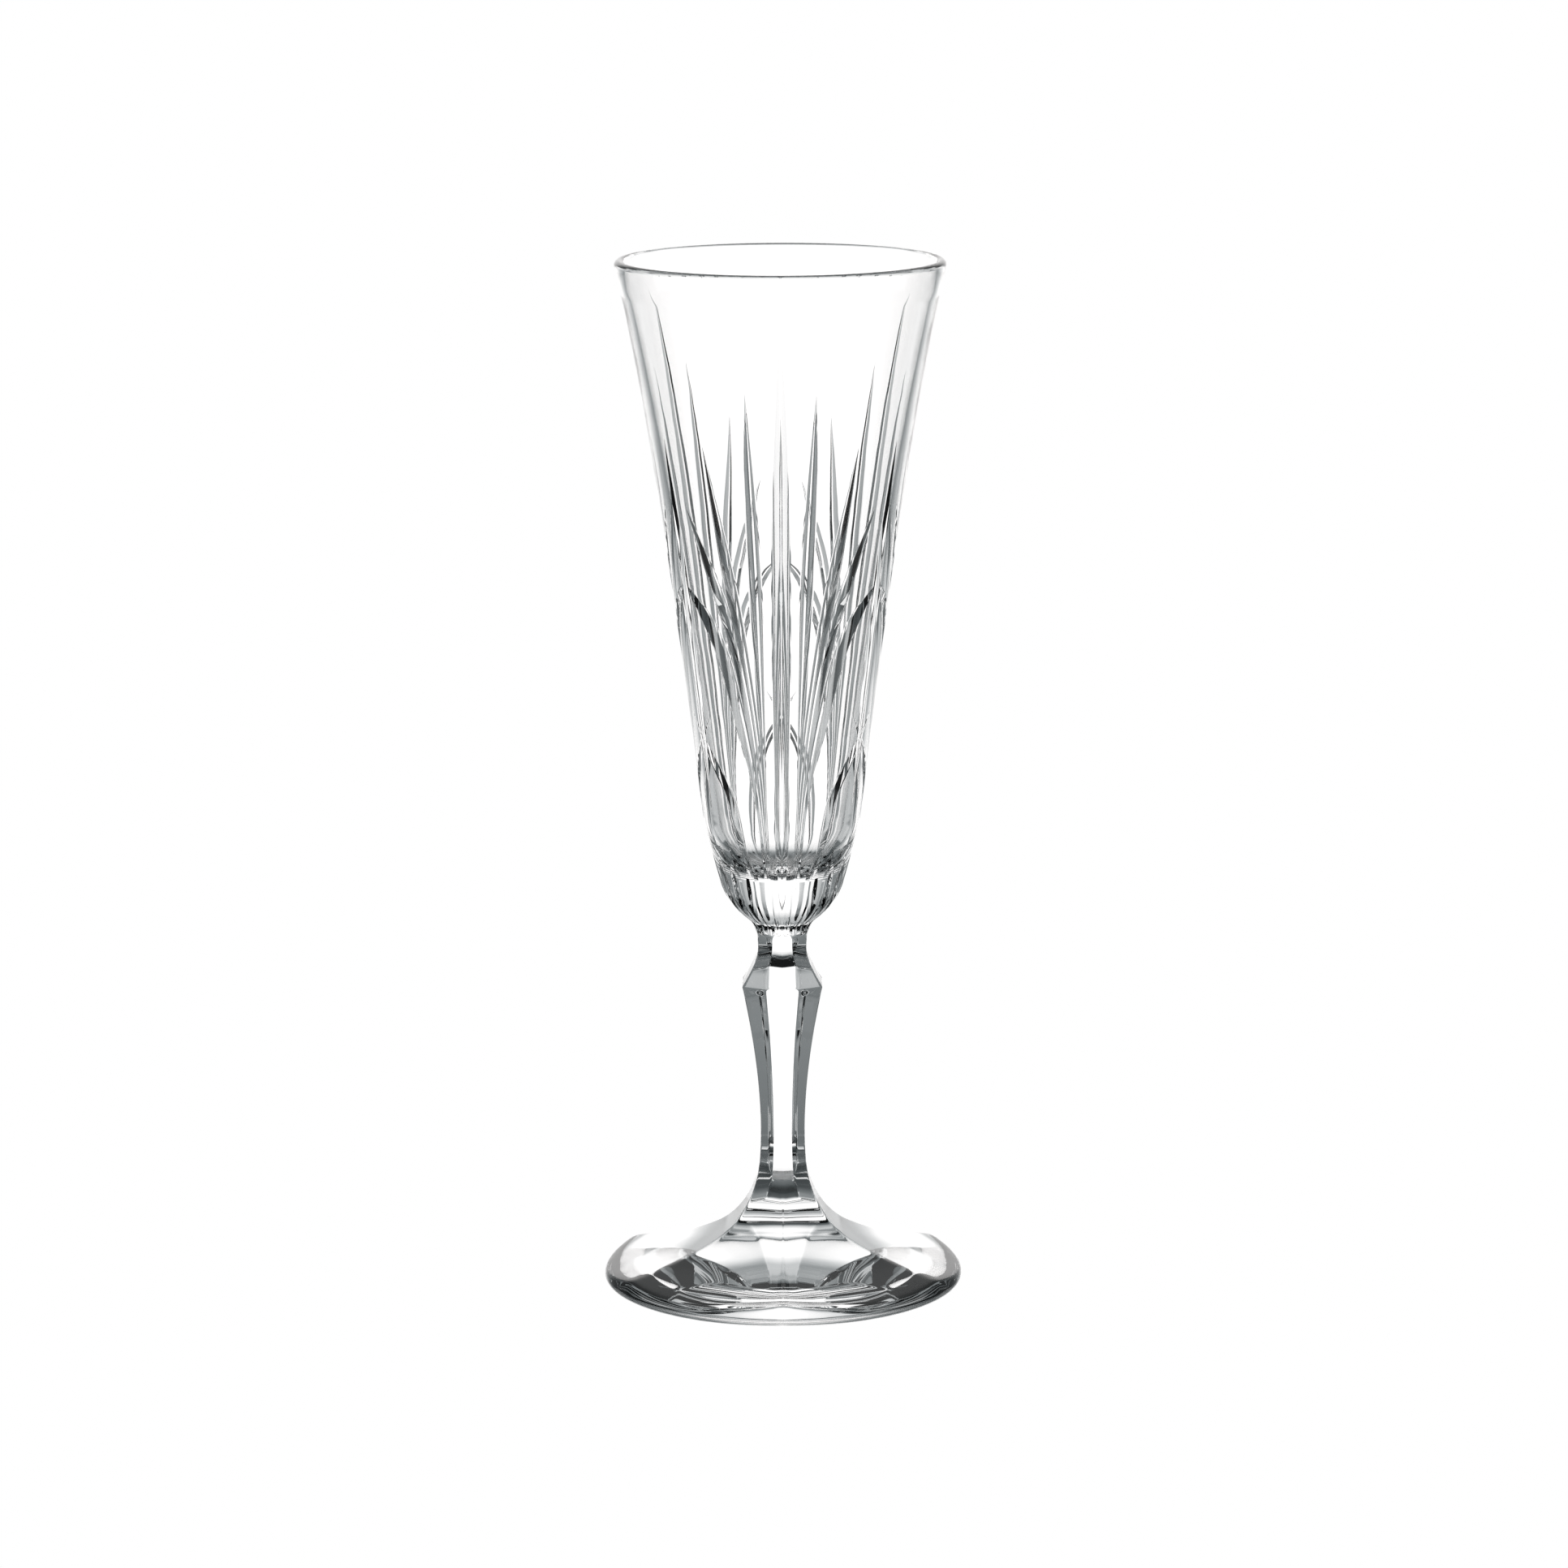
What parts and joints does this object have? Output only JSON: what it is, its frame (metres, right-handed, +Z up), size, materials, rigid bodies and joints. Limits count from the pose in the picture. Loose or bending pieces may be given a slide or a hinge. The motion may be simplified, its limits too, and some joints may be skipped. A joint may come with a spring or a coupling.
{
  "type": "champagne flute",
  "caption": "Tall clear crystal flute with fans of V cuts up a tapered bowl, a six-sided stem with a knop near the top, and a round foot with a six-sided slope.",
  "frame": {"origin": "centre of the foot's contact ring, on the surface the glass stands on", "axes": "+Z up the stem to the rim, -Y towards one corner of the six-sided stem and the middle of one fan of cuts"},
  "size_m": [0.073, 0.073, 0.21],
  "materials": {
    "bowl": "clear, fire polished",
    "stem": "clear, fire polished",
    "foot": "clear, fire polished"
  },
  "bodies": {
    "root": {"bowl": "bowl", "stem": "stem", "foot": "foot"}
  },
  "joints": []
}
